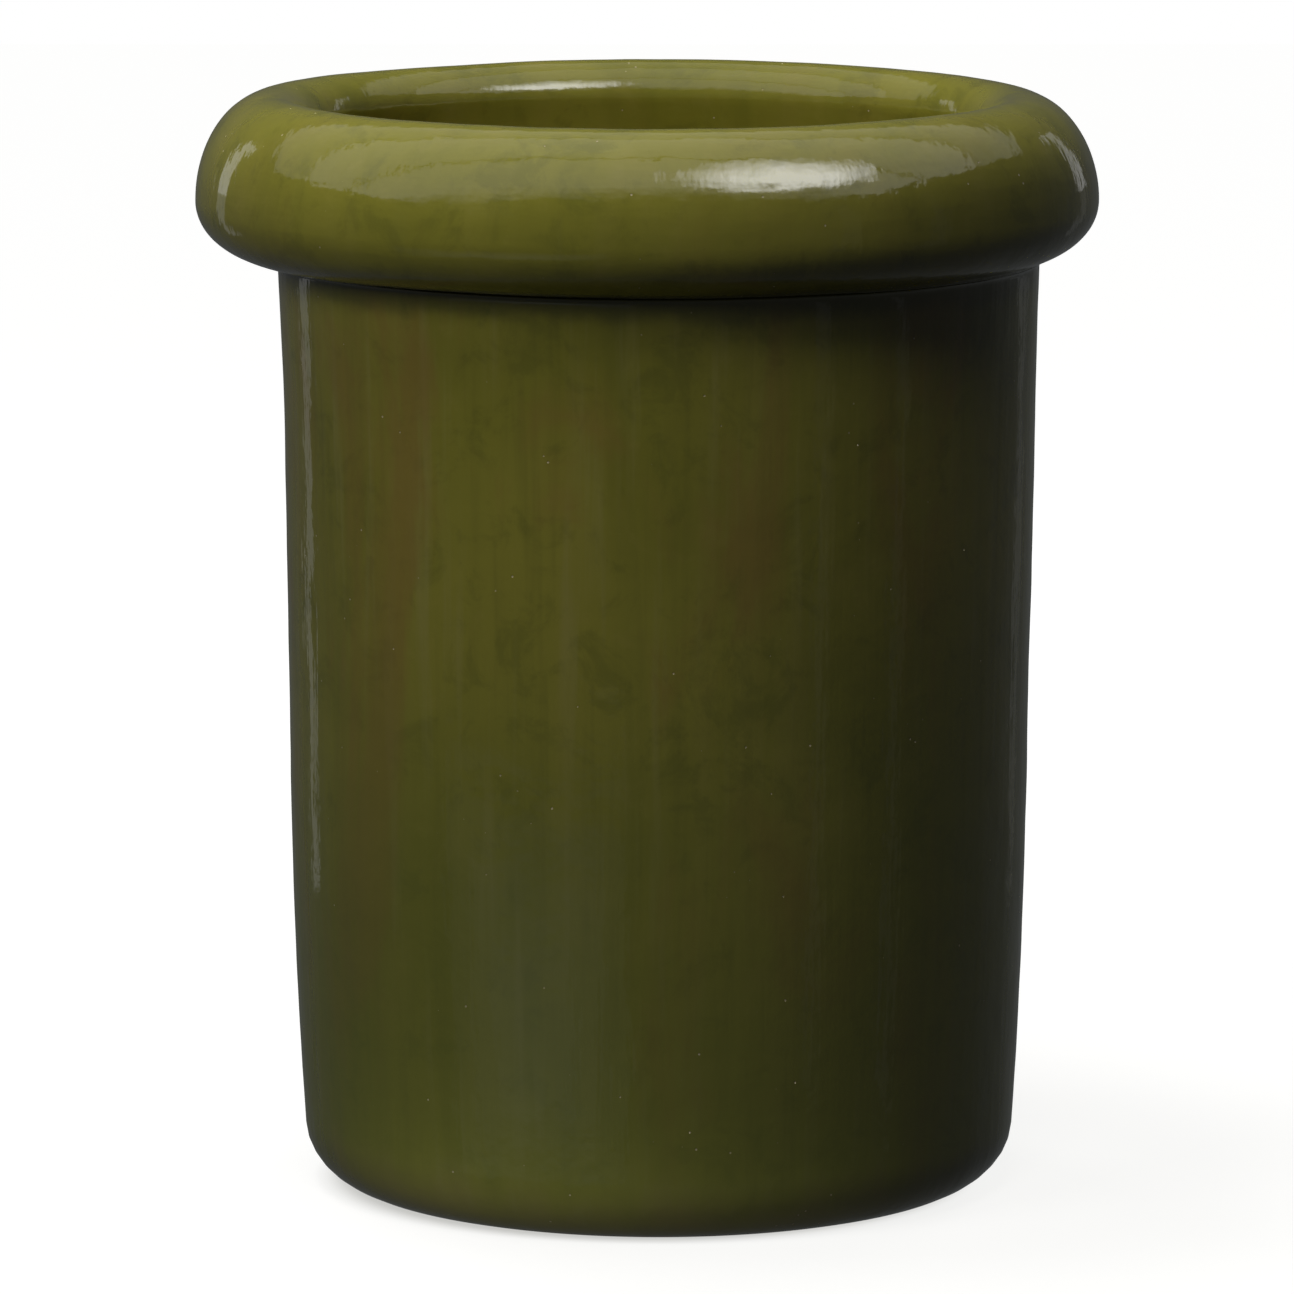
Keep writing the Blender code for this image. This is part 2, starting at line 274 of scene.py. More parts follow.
def body_inside():
    """Give the inner line from the lip down to the floor, with throwing rings."""
    line = []
    for step in range(1, 12):
        turn = pi / 2 * step / 12
        line.append((crown_radius - lip_rounding * sin(turn), mouth_level + lip_rounding * cos(turn)))
    for height in np.linspace(mouth_level, slab_top, 165):
        rings = 0.5 * MM * sin(2 * pi * height / 0.0125)
        rings += 0.3 * MM * sin(2 * pi * height / 0.031)
        fade = ease((mouth_level - 0.05 - height) / 0.06)
        line.append((bore_face(float(height)) + rings * fade, float(height)))
    line.append((bore_face(slab_top), rebate_top))
    return line


# %% Spin the body
body_steps = 216
over_the_roll = []
for radius, height in reversed(roll_line(0, roll_end, 0.0, 64)):
    if radius > wall_face(underside) or height > widest_level:
        over_the_roll.append((radius, height))
hollow = roll_line(0, roll_end, roll_skin, 18)
body = draw_section("glazed_body", [body_outside() + over_the_roll + body_inside(), hollow])
spin_section(body, body_x, body_steps)

# %% [markdown]
# ## Turn the hollow's faces inwards
# Recalculating normals makes both shells face outwards from themselves. That is right for the skin, and wrong
# for a hollow, whose faces have to look into the empty space. They are picked by place: inside the roll's
# outline, and outside the wall.

# %% Flip the faces of the hollow


def in_hollow(x, y, z):
    """Say whether a face belongs to the closed hollow of the roll."""
    upright = roll_up if z >= widest_level else roll_down
    out = hypot(x - body_x, y) - crown_radius
    from_middle = (out / roll_out) ** 2 + ((z - widest_level) / upright) ** 2
    return out > -0.5 * MM and from_middle < 0.8


pick_faces(body, in_hollow)
bpy.ops.mesh.flip_normals()
bpy.ops.object.mode_set(mode="OBJECT")
print("the hollow should have", len(hollow) * body_steps)

# %% [markdown]
# ## Lean the rim over
# The roll and the mouth sit a little to the left of the body. A Displace modifier along X, held by a vertex
# group, shifts the rim and eases back to nothing in the wall. Tilting the mesh would spoil the level top.

# %% Lean the roll over to its own axis


def lean_rule(x, y, z):
    """Say how far a point has gone over from the body's axis to the roll's axis."""
    radius = hypot(x - body_x, y)
    if z < underside - crease:
        return 0.0
    if radius < bore_face(z) + wall_thickness / 2:
        return ease((z - underside) / (mouth_level - underside))
    if z > widest_level - 6 * MM:
        return 1.0
    return ease((radius - wall_face(underside)) / (12 * MM))


weigh(body, "lean", lean_rule)
lean = body.modifiers.new("lean", "DISPLACE")
lean.direction = "X"
lean.mid_level = 0.0
lean.strength = -body_x
lean.vertex_group = "lean"
only(body)
bpy.ops.object.modifier_apply(modifier="lean")

# %% [markdown]
# ## The steam vent
# A closed hollow of damp clay bursts in the kiln, so the potter pricks a hole up into the roll, where no one
# looks: underneath, at the back. A hole can be cut by a Boolean, or by deleting faces and bridging the gap.
# The Boolean is the same act as the real one, a round needle pushed through the clay.

# %% Prick the vent
vent_radius = 2.5 * MM
clear_of_coil = 12 * MM
vent_place = (0.0, wall_face(underside) + clear_of_coil + vent_radius, underside)
bpy.ops.object.select_all(action="DESELECT")
bpy.ops.mesh.primitive_cylinder_add(vertices=24, radius=vent_radius, depth=30 * MM, location=vent_place)
needle = bpy.context.object
pierce = body.modifiers.new("pierce", "BOOLEAN")
pierce.operation = "DIFFERENCE"
pierce.solver = "EXACT"
pierce.object = needle
faces_before = len(body.data.polygons)
only(body)
bpy.ops.object.modifier_apply(modifier="pierce")
bpy.data.objects.remove(needle)
bpy.ops.object.shade_smooth_by_angle(angle=sharp_angle)
print("the vent added", len(body.data.polygons) - faces_before, "faces")

# %% [markdown]
# ## Touch the body with the hands
# Two cloud textures move the skin, a broad one for the round of the pot and a small one for the fingertips.
# The foot ring is left out, because it has to stand flat.

# %% Make the body uneven
weigh(body, "touched", lambda x, y, z: ease(z / (20 * MM)))
uneven(body, "hand_size", 0.16, 0.9 * MM, "touched")
uneven(body, "finger_size", 0.030, 0.20 * MM, "touched")
body.vertex_groups.clear()
print("body is", [round(side / MM, 1) for side in body.dimensions], "mm")

# %% [markdown]
# ## Where the clay is left bare
# The glazer wipes the foot ring and leaves most of the inside bare. A number on each point says how far it
# is on the bare side of that line, and the material adds noise to it, so the edge of the glaze wanders.

# %% Mark the bare side of the glaze line
bare = body.data.attributes.new("bare", "FLOAT", "POINT")
amount = []
for vertex in body.data.vertices:
    x, y, z = vertex.co
    radius = hypot(x - body_x, y)
    inner = z > 4 * MM and radius < min(wall_face(z), foot_face(z)) - wall_thickness / 2
    if inner:
        amount.append(0.5 + (0.335 - z) / 0.08)
    else:
        amount.append(0.5 + (1.5 * MM - z) / (6 * MM))
bare.data.foreach_set("value", np.clip(amount, 0.0, 1.0).astype(np.float32))
print("bare points:", sum(value > 0.5 for value in amount))

# %% [markdown]
# ## The olive glaze
# The glaze is a coloured glass over clay. Its colour comes from how thick it lies, so it is a mix of olives
# with long drips down the wall, a browner tone where it is thin, and darker pools. In the crease under the
# roll the pool is darkened further by painted shade. It is very glossy. Small pinholes and a fine ripple
# break the reflections. All patterns read Object coordinates. Every recipe below is built by a few short
# methods, because the same handful of nodes comes back again and again.

# %% Helpers for building materials


class Recipe:
    """A short way to add nodes to one material."""

    def __init__(self, name):
        self.material = bpy.data.materials.new(name)
        self.material.use_nodes = True
        self.tree = self.material.node_tree
        self.shader = self.tree.nodes["Principled BSDF"]
        self.place = self.add("ShaderNodeTexCoord").outputs["Object"]

    def add(self, kind, **settings):
        """Add a node and set its properties."""
        node = self.tree.nodes.new(kind)
        for key, value in settings.items():
            setattr(node, key, value)
        return node

    def put(self, socket, value):
        """Link a socket to another socket, or set its value."""
        if isinstance(value, bpy.types.NodeSocket):
            self.tree.links.new(value, socket)
        else:
            socket.default_value = value

    def stretched(self, x, y, z):
        """Give the place on the piece, scaled along each axis."""
        node = self.add("ShaderNodeMapping")
        self.put(node.inputs["Vector"], self.place)
        node.inputs["Scale"].default_value = (x, y, z)
        return node.outputs["Vector"]

    def noise(self, scale, detail=3.0, rough=0.5, where=None, twist=0.0):
        """Give soft noise around 0.5."""
        node = self.add("ShaderNodeTexNoise")
        self.put(node.inputs["Vector"], where or self.place)
        self.put(node.inputs["Scale"], scale)
        self.put(node.inputs["Detail"], detail)
        self.put(node.inputs["Roughness"], rough)
        self.put(node.inputs["Distortion"], twist)
        return node.outputs["Fac"]

    def spots(self, scale):
        """Give the distance to the nearest of many scattered points."""
        node = self.add("ShaderNodeTexVoronoi")
        self.put(node.inputs["Vector"], self.place)
        self.put(node.inputs["Scale"], scale)
        return node.outputs["Distance"]

    def band(self, value, low, high, to_low=0.0, to_high=1.0):
        """Turn a range of a value smoothly into another range."""
        node = self.add("ShaderNodeMapRange", interpolation_type="SMOOTHSTEP")
        self.put(node.inputs["Value"], value)
        ends = {"From Min": low, "From Max": high, "To Min": to_low, "To Max": to_high}
        for name, number in ends.items():
            self.put(node.inputs[name], number)
        return node.outputs["Result"]

    def sum(self, a, b, operation="ADD"):
        """Add two values, or join them by another operation of arithmetic."""
        node = self.add("ShaderNodeMath", operation=operation)
        self.put(node.inputs[0], a)
        self.put(node.inputs[1], b)
        return node.outputs["Value"]

    def blend(self, share, first, second):
        """Mix two colours."""
        node = self.add("ShaderNodeMix", data_type="RGBA")
        self.put(node.inputs["Factor"], share)
        for socket, value in ((node.inputs[6], first), (node.inputs[7], second)):
            self.put(socket, (*value, 1.0) if isinstance(value, tuple) else value)
        return node.outputs[2]

    def bump(self, height, depth, under=None):
        """Raise the surface in light only, over another bump if one is given."""
        node = self.add("ShaderNodeBump")
        self.put(node.inputs["Height"], height)
        node.inputs["Strength"].default_value = 1.0
        node.inputs["Distance"].default_value = depth
        if under is not None:
            self.put(node.inputs["Normal"], under)
        return node.outputs["Normal"]


def clay_colour(recipe):
    """Fired red clay: sandy, with dark grains and the grey trace of a wet sponge."""
    firing = recipe.band(recipe.noise(9.0, 5.0), 0.35, 0.65)
    ground = recipe.blend(firing, (0.36, 0.150, 0.075), (0.47, 0.215, 0.115))
    sponge = recipe.band(recipe.noise(24.0, 4.0, 0.6, recipe.stretched(1.0, 1.0, 5.0)), 0.45, 0.7)
    wiped = recipe.blend(sponge, ground, (0.52, 0.29, 0.185))
    grain = recipe.band(recipe.noise(900.0, 2.0), 0.60, 0.68)
    return recipe.blend(grain, wiped, (0.20, 0.085, 0.05))


def clay_relief(recipe):
    """Sand grains and drag marks of fired clay."""
    fine = recipe.bump(recipe.noise(700.0, 3.0, 0.6), 0.25 * MM)
    return recipe.bump(recipe.noise(60.0, 3.0, 0.5, recipe.stretched(0.3, 0.3, 2.2)), 0.7 * MM, fine)


# %% [markdown]
# ## Mix the colour of the glaze
# The colour is built up as the glaze lies: two olives in soft clouds, then long runs down the wall, brown
# where it is thin, greener low down, and dark in the crease as pooled glaze plus painted shade. Each is one
# blend over the last.
# The runs are noise that is stretched along Z, and they fade out on the roll, where glaze doesn't hang.

# %% Lay the olives over each other
glaze = Recipe("olive_glaze_over_clay")
height = glaze.add("ShaderNodeSeparateXYZ")
glaze.put(height.inputs[0], glaze.place)
level = height.outputs["Z"]
on_wall = glaze.band(level, 0.45, 0.41, 0.15, 1.0)

clouds = glaze.noise(7.0, 3.0, 0.5, twist=0.6)
olive = glaze.blend(glaze.band(clouds, 0.3, 0.7), (0.158, 0.152, 0.017), (0.192, 0.180, 0.024))

runs = glaze.noise(34.0, 4.0, 0.55, glaze.stretched(1.0, 1.0, 0.07))
olive = glaze.blend(glaze.band(runs, 0.50, 0.75, 0.0, 0.30), olive, (0.235, 0.205, 0.045))
olive = glaze.blend(glaze.band(runs, 0.48, 0.28, 0.0, 0.32), olive, (0.105, 0.110, 0.013))

mottle = glaze.noise(40.0, 7.0, 0.68, twist=0.5)
olive = glaze.blend(glaze.band(mottle, 0.50, 0.34, 0.0, 0.38), olive, (0.085, 0.090, 0.012))
olive = glaze.blend(glaze.band(mottle, 0.54, 0.70, 0.0, 0.25), olive, (0.230, 0.200, 0.040))

fine_runs = glaze.noise(95.0, 3.0, 0.6, glaze.stretched(1.0, 1.0, 0.045))
light_run = glaze.sum(glaze.band(fine_runs, 0.52, 0.74, 0.0, 0.38), on_wall, "MULTIPLY")
dark_run = glaze.sum(glaze.band(fine_runs, 0.48, 0.28, 0.0, 0.30), on_wall, "MULTIPLY")
olive = glaze.blend(light_run, olive, (0.235, 0.215, 0.070))
olive = glaze.blend(dark_run, olive, (0.100, 0.098, 0.014))

patches = glaze.noise(13.0, 6.0, 0.62, glaze.stretched(1.0, 1.0, 0.30), 0.9)
thin = glaze.sum(glaze.band(patches, 0.50, 0.68, 0.0, 0.60), on_wall, "MULTIPLY")
olive = glaze.blend(thin, olive, (0.185, 0.122, 0.026))

cloudy_level = glaze.sum(level, glaze.sum(clouds, 0.12, "MULTIPLY"))
olive = glaze.blend(glaze.band(cloudy_level, 0.40, 0.10, 0.0, 0.60), olive, (0.116, 0.133, 0.026))

run_level = glaze.sum(level, glaze.sum(runs, 0.05, "MULTIPLY"))
olive = glaze.blend(glaze.band(run_level, 0.060, 0.026, 0.0, 0.35), olive, (0.215, 0.165, 0.075))

# Painted shade: the crease under the roll is darkened in the colour, more than the pooled glaze alone would
# be.
ragged_level = glaze.sum(level, glaze.sum(glaze.noise(30.0, 4.0, 0.6), 0.020, "MULTIPLY"))
below = glaze.band(ragged_level, 0.4215, 0.4300)
under_roll = glaze.band(level, 0.4290, 0.4265)
pool_and_painted_shade = glaze.sum(glaze.sum(below, under_roll, "MULTIPLY"), 0.48, "MULTIPLY")
olive = glaze.blend(pool_and_painted_shade, olive, (0.038, 0.042, 0.014))

some_places = glaze.band(glaze.noise(45.0, 2.0), 0.57, 0.62)
pinhole = glaze.sum(glaze.band(glaze.spots(150.0), 0.085, 0.055), some_places, "MULTIPLY")
olive = glaze.blend(pinhole, olive, (0.42, 0.36, 0.22))
print("the olive so far has", len(glaze.tree.nodes), "nodes")

# %% [markdown]
# ## Stop the glaze at its line
# The points' number for bare clay gets noise added, and one narrow band of the sum is the glaze's edge. Just
# above it the glaze is thicker and darker. Bare clay is dull, and glaze is glossy, with slight smears.

# %% Join glaze and clay
bare_side = glaze.add("ShaderNodeAttribute", attribute_name="bare").outputs["Fac"]
wander = glaze.sum(glaze.noise(16.0, 4.0, 0.55, twist=0.4), glaze.noise(90.0, 3.0))
line = glaze.sum(bare_side, glaze.sum(wander, 0.30, "MULTIPLY"))
is_clay = glaze.band(line, 0.795, 0.812)
olive = glaze.blend(glaze.band(line, 0.70, 0.79, 0.0, 0.7), olive, (0.060, 0.058, 0.012))
both_colours = glaze.blend(is_clay, olive, clay_colour(glaze))
glaze.put(glaze.shader.inputs["Base Color"], both_colours)

dull = glaze.add("ShaderNodeMix", data_type="FLOAT")
glaze.put(dull.inputs[0], glaze.sum(is_clay, pinhole, "MAXIMUM"))
glaze.put(dull.inputs[2], glaze.band(glaze.noise(60.0, 3.0), 0.3, 0.7, 0.045, 0.085))
glaze.put(dull.inputs[3], 0.86)
glaze.put(glaze.shader.inputs["Roughness"], dull.outputs[0])
glaze.shader.inputs["IOR"].default_value = 1.5
print("glaze and clay now have", len(glaze.tree.nodes), "nodes")

# %% [markdown]
# ## Relief under the gloss
# A glossy skin shows its relief by how reflections break, so the bumps are very shallow. Fingers dragged
# round the roll leave long marks. Their noise is read in turned places, as direction, reach and level, so it
# runs round the roll everywhere. Four axes are needed for that, and 4D noise has them.

# %% Add the relief and finish the body
flat = glaze.add("ShaderNodeCombineXYZ")
glaze.put(flat.inputs["X"], height.outputs["X"])
glaze.put(flat.inputs["Y"], height.outputs["Y"])
outward = glaze.add("ShaderNodeVectorMath", operation="NORMALIZE")
glaze.put(outward.inputs[0], flat.outputs[0])
reach = glaze.add("ShaderNodeVectorMath", operation="LENGTH")
glaze.put(reach.inputs[0], flat.outputs[0])
direction = glaze.add("ShaderNodeSeparateXYZ")
glaze.put(direction.inputs[0], outward.outputs[0])

drag_length, drag_width = 5.0, 150.0
drag_place = glaze.add("ShaderNodeCombineXYZ")
glaze.put(drag_place.inputs["X"], glaze.sum(direction.outputs["X"], drag_length, "MULTIPLY"))
glaze.put(drag_place.inputs["Y"], glaze.sum(direction.outputs["Y"], drag_length, "MULTIPLY"))
glaze.put(drag_place.inputs["Z"], glaze.sum(reach.outputs["Value"], drag_width, "MULTIPLY"))
drags = glaze.add("ShaderNodeTexNoise", noise_dimensions="4D")
glaze.put(drags.inputs["Vector"], drag_place.outputs[0])
glaze.put(drags.inputs["W"], glaze.sum(level, drag_width, "MULTIPLY"))
drags.inputs["Scale"].default_value = 1.0
drags.inputs["Detail"].default_value = 2.0
on_roll = glaze.band(level, 0.40, 0.44)

relief = glaze.bump(glaze.noise(48.0, 3.0, 0.5), 0.40 * MM)
relief = glaze.bump(glaze.sum(drags.outputs["Fac"], on_roll, "MULTIPLY"), 0.20 * MM, relief)
relief = glaze.bump(glaze.noise(170.0, 3.0, 0.55), 0.09 * MM, relief)
relief = glaze.bump(runs, 0.40 * MM, relief)
relief = glaze.bump(fine_runs, 0.22 * MM, relief)
relief = glaze.bump(glaze.sum(1.0, pinhole, "SUBTRACT"), 0.2 * MM, relief)
surface = glaze.add("ShaderNodeMix", data_type="VECTOR")
glaze.put(surface.inputs[0], is_clay)
glaze.put(surface.inputs[4], relief)
glaze.put(surface.inputs[5], clay_relief(glaze))
glaze.put(glaze.shader.inputs["Normal"], surface.outputs[1])

body.data.materials.clear()
body.data.materials.append(glaze.material)
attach(body, "pot")
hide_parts("lower_wall", "upper_wall", "roll_lower", "roll_upper")
print("glaze recipe has", len(glaze.tree.nodes), "nodes")

# %% [markdown]
# ## The floor slab
# The floor is a rolled slab that drops into a rebate in the foot. It can be seen through the mouth and from
# below, so it gets a bevelled drain hole, a slightly dished top and a scraped underside.

# %% Mix the bare clay
bare_clay = Recipe("bare_fired_clay")
bare_clay.put(bare_clay.shader.inputs["Base Color"], clay_colour(bare_clay))
sandy = bare_clay.band(bare_clay.noise(120.0), 0.3, 0.7, 0.78, 0.92)
bare_clay.put(bare_clay.shader.inputs["Roughness"], sandy)
bare_clay.put(bare_clay.shader.inputs["Normal"], clay_relief(bare_clay))
print("bare clay recipe has", len(bare_clay.tree.nodes), "nodes")

# %% Spin the slab
drain_radius = 14 * MM
slab_edge = bore_face(slab_top) - 0.4 * MM
slab_step = foot_face(0.0) - ring_width - 0.4 * MM
slab_line = [(drain_radius, 4.6 * MM), (drain_radius + 0.6 * MM, ring_recess)]
slab_line += [(float(radius), ring_recess) for radius in np.linspace(0.02, slab_step, 24)]
slab_line += [(slab_step, 4.9 * MM), (slab_edge, 4.9 * MM), (slab_edge, slab_top - 0.6 * MM)]
for step in np.linspace(slab_edge, drain_radius + 1.5 * MM, 30):
    radius = float(step)
    dish = 0.6 * MM * (1 - (radius / slab_edge) ** 2) + 0.35 * MM * sin(radius / 0.0024)
    slab_line.append((radius, slab_top - max(dish, 0.0) * ease((radius - 0.021) / 0.01)))
slab_line += [(drain_radius + 0.4 * MM, slab_top - 0.9 * MM), (drain_radius, slab_top - 1.5 * MM)]
slab = draw_section("floor_slab", [slab_line])
spin_section(slab, body_x, 144)
slab.data.materials.append(bare_clay.material)
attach(slab, "pot")
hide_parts("base_slab")

# %% [markdown]
# ## The coils in the joints
# A coil of soft clay is pressed into each inner corner and dragged along with a finger. It ends up as an
# uneven band with dents. It is spun like the wall, and then pushed in and out by two cloud textures.

# %% Spin the coils and dent them


def make_coil(node, line):
    """Spin a coil's section, dent it and let it stand for its node."""
    name = "smeared_" + node
    coil = draw_section(name, [line])
    spin_section(coil, body_x, 288)
    uneven(coil, name + "_dents", 0.014, 1.0 * MM)
    uneven(coil, name + "_drags", 0.05, 1.3 * MM)
    coil.data.materials.append(bare_clay.material)
    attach(coil, "pot")
    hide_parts(node)


corner = slab_top - 1.2 * MM
back = bore_face(slab_top) + 2.5 * MM
toe = back - 19 * MM
heel = corner + 18 * MM
finger = 16.5 * MM
base_line = [(back, corner), (toe, corner)]
for step in range(13):
    turn = pi / 2 * step / 12
    base_line.append((toe + finger * sin(turn), heel - finger * cos(turn)))
base_line.append((back, heel))
make_coil("base_coil", base_line)

seam_level = sum(corner_point.z for corner_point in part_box("seam_coil")) / 2
sunk = bore_face(seam_level) + 3 * MM
half = 15 * MM
seam_line = [(sunk, seam_level + half), (sunk, seam_level - half)]
for step in range(17):
    share = step / 16
    place = seam_level - half + 2 * half * share
    seam_line.append((bore_face(place) + 1.2 * MM - 4.2 * MM * sin(pi * share), place))
make_coil("seam_coil", seam_line)

# The neck coil is closed in by the roll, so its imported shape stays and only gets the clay
for material_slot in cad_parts["neck_coil"].material_slots:
    material_slot.material = bare_clay.material

# %% [markdown]
# ## The rubber plug
# The plug is moulded black rubber: a tapered shank, a flange that seals on the floor, and a ribbed grip for
# two fingers. It could be cut from stacked discs, but one section with rounded corners, spun like the pot,
# has no seams to hide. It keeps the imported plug's lowest and highest points and its flange.

# %% Spin the plug
plug_low, plug_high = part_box("drain_plug")
seat = slab_top + 0.3 * MM
flange = (plug_high.x - plug_low.x) / 2
on_axis = 0.0001 * MM
plug_line = [
    (on_axis, plug_low.z + 1.2 * MM), (6 * MM, plug_low.z + 1.2 * MM), (7 * MM, plug_low.z),
    (10.6 * MM, plug_low.z), (11.3 * MM, plug_low.z + 0.5 * MM), (11.9 * MM, plug_low.z + 2 * MM),
    (12.6 * MM, seat - 4 * MM), (13.1 * MM, seat - 3.6 * MM), (13.1 * MM, seat - 2.4 * MM),
    (12.8 * MM, seat - 2 * MM), (13.3 * MM, seat - 0.4 * MM), (13.9 * MM, seat),
    (flange - 0.8 * MM, seat), (flange - 0.2 * MM, seat + 0.3 * MM), (flange, seat + 0.9 * MM),
    (flange - 0.3 * MM, seat + 1.7 * MM), (flange - 1.2 * MM, seat + 2.3 * MM), (13 * MM, seat + 2.9 * MM),
    (9 * MM, seat + 3 * MM), (7 * MM, seat + 3.2 * MM), (5.9 * MM, seat + 4 * MM),
    (5.5 * MM, seat + 5.4 * MM), (5.6 * MM, seat + 7.4 * MM),
    (6.3 * MM, seat + 8.4 * MM), (7.6 * MM, seat + 9 * MM),
    (8.1 * MM, seat + 9.6 * MM), (8.1 * MM, seat + 11.6 * MM), (7.7 * MM, seat + 12.4 * MM),
    (6.8 * MM, plug_high.z), (4.2 * MM, plug_high.z), (3.6 * MM, plug_high.z - 0.6 * MM),
    (on_axis, plug_high.z - 0.6 * MM),
]
plug = draw_section("rubber_plug", [plug_line])
spin_section(plug, body_x, 72)

# %% [markdown]
# ## Ribs for two fingers
# A smooth rubber knob slips in a wet hand. Ribs could be separate strips, or part of the section. Faces
# pulled out of the knob keep it one mould, and a narrow bevel rounds their edges as the mould would.

# %% Pull the ribs out of the grip


def on_rib(x, y, z):
    """Say whether a face lies on the grip's side, in two of every three strips."""
    strip = int((degrees(atan2(y, x - body_x)) + 180.0) // 5)
    on_side = seat + 9.4 * MM < z < seat + 12 * MM and hypot(x - body_x, y) > 7.5 * MM
    return strip % 3 != 0 and on_side


pick_faces(plug, on_rib)
bpy.ops.mesh.extrude_region_shrink_fatten(TRANSFORM_OT_shrink_fatten={"value": 0.8 * MM})
bpy.ops.object.mode_set(mode="OBJECT")
round_edges = plug.modifiers.new("round_edges", "BEVEL")
round_edges.width = 0.25 * MM
round_edges.segments = 2
round_edges.limit_method = "ANGLE"
round_edges.angle_limit = sharp_angle
only(plug)
bpy.ops.object.modifier_apply(modifier="round_edges")
print("the plug has", len(plug.data.polygons), "faces with its ribs")

# %% Mix the rubber
rubber = Recipe("black_rubber")
dust = rubber.band(rubber.noise(180.0, 5.0, 0.65), 0.50, 0.72, 0.0, 0.6)
dusty = rubber.blend(dust, (0.018, 0.018, 0.019), (0.10, 0.085, 0.07))
rubber.put(rubber.shader.inputs["Base Color"], dusty)
worn = rubber.band(rubber.noise(260.0), 0.3, 0.7, 0.45, 0.68)
rubber.put(rubber.shader.inputs["Roughness"], worn)
rubber.put(rubber.shader.inputs["Normal"], rubber.bump(rubber.noise(1400.0, 2.0), 0.05 * MM))
plug.data.materials.append(rubber.material)
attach(plug, "plug")
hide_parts("drain_plug")
print("rubber recipe has", len(rubber.tree.nodes), "nodes")

# %% [markdown]
# ## Light
# A glossy pot shows the room it stands in, and it also has to be lit. One lamp that does both is hard to
# balance, because a brighter mirror image also means a brighter glaze. So each lamp here does one job: it is
# either mirrored in the glaze, or falls on it. The strength is given as radiance, so that a lamp can be made
# larger without changing how bright its mirror image is.

# %% A helper for soft lights


def soft_light(name, place, aim, width, depth, radiance, mirrored, colour=(1.0, 1.0, 1.0)):
    """Add a soft area light that is either mirrored in the glaze or falls on it."""
    lamp = bpy.data.lights.new(name, "AREA")
    lamp.shape = "RECTANGLE"
    lamp.size = width
    lamp.size_y = depth
    lamp.energy = radiance * pi * width * depth
    lamp.color = colour
    holder = bpy.data.objects.new(name, lamp)
    bpy.context.scene.collection.objects.link(holder)
    holder.location = place
    direction = [a - p for a, p in zip(aim, place)]
    across = hypot(direction[0], direction[1])
    turn = atan2(-direction[0], direction[1]) if across > 1e-6 else 0.0
    holder.rotation_euler = (pi / 2 + atan2(direction[2], across), 0.0, turn)
    holder.visible_camera = False
    holder.visible_glossy = mirrored
    holder.visible_diffuse = not mirrored
    return holder


def upright(name, x, y, level, width, length, radiance):
    """Stand a slim mirrored light on end, turned to the pot's axis."""
    soft_light(name, (x, y, level), (0.0, 0.0, level), width, length, radiance, True)


# %% [markdown]
# ## What the glaze mirrors
# Above the pot hangs one wide soft panel with two dark bars across, which fades out in front in small steps.
# A hotter oval lamp hangs below it on the right. It is a stack of ever smaller ovals, so that it fades at its
# edge. Lights at exactly the same height would hide each other, so each oval is a centimetre lower. Slim
# upright lights stand behind and beside the pot, and a faint haze lies low in front.

# %% Hang the panel and the lamp
above = pot_top + 1.0
panel_x, panel_width = -0.49, 4.82
front_edge, front_radiance = -1.20, 1.1
panel = [("panel_front", front_edge, -0.385, front_radiance)]
panel += [("panel_middle", -0.345, 0.39, 0.95), ("panel_rear", 0.43, 1.21, 0.44)]
for step in range(6):
    near = front_edge - 0.10 * step
    panel.append((f"panel_edge_{step}", near - 0.10, near, front_radiance * (1 - (step + 0.5) / 6)))
for name, front, rear, radiance in panel:
    middle = (front + rear) / 2
    place, aim = (panel_x, middle, above), (panel_x, middle, 0.0)
    soft_light(name, place, aim, panel_width, rear - front, radiance, True)
for step in range(8):
    share = 1 - 0.6 * step / 7
    place = (0.68, -0.79, above - 0.05 - 0.01 * step)
    floor_below = (place[0], place[1], 0.0)
    lamp = soft_light(f"lamp_{step}", place, floor_below, 1.18 * share, 1.05 * share, 0.93, True)
    lamp.data.shape = "ELLIPSE"
    lamp.rotation_euler.z = radians(20)
print("the panel has", len(panel), "strips, at", round(above, 2), "m")

# %% Stand the slim lights
upright("left_strip", -1.46, 1.39, 0.10, 0.20, 0.68, 0.26)
upright("left_strip_top", -1.46, 1.39, 0.82, 0.22, 0.76, 0.85)
for step in range(3):
    near = 1.0 - 0.01 * step
    size = 1 - 0.3 * step
    place = (-0.64 * near, -0.85 * near, -0.15)
    cool = (0.9, 1.0, 1.15)
    soft_light(f"low_haze_{step}", place, (0.0, 0.0, -0.15), 1.1 * size, 0.36 * size, 0.06, True, cool)
upright("right_glint_near", 1.49, -1.34, 0.3, 0.09, 1.6, 0.055)
upright("right_glint_far", 1.93, -0.52, 0.3, 0.10, 1.6, 0.05)
upright("right_strip", 1.26, 1.55, 0.10, 0.16, 0.68, 0.05)
upright("right_strip_top", 1.26, 1.55, 0.82, 0.16, 0.76, 0.55)
print("mirrored lights so far:", len(bpy.data.lights))

# %% [markdown]
# ## What lights the glaze
# Most of the light falls from the left front and from above, so the right side goes dark. Two lights behind
# keep the back from going black. Pale paper also throws light back at the foot, and two tiny lights stand
# for that. Light linking keeps them off the paper itself, where they would draw a line.

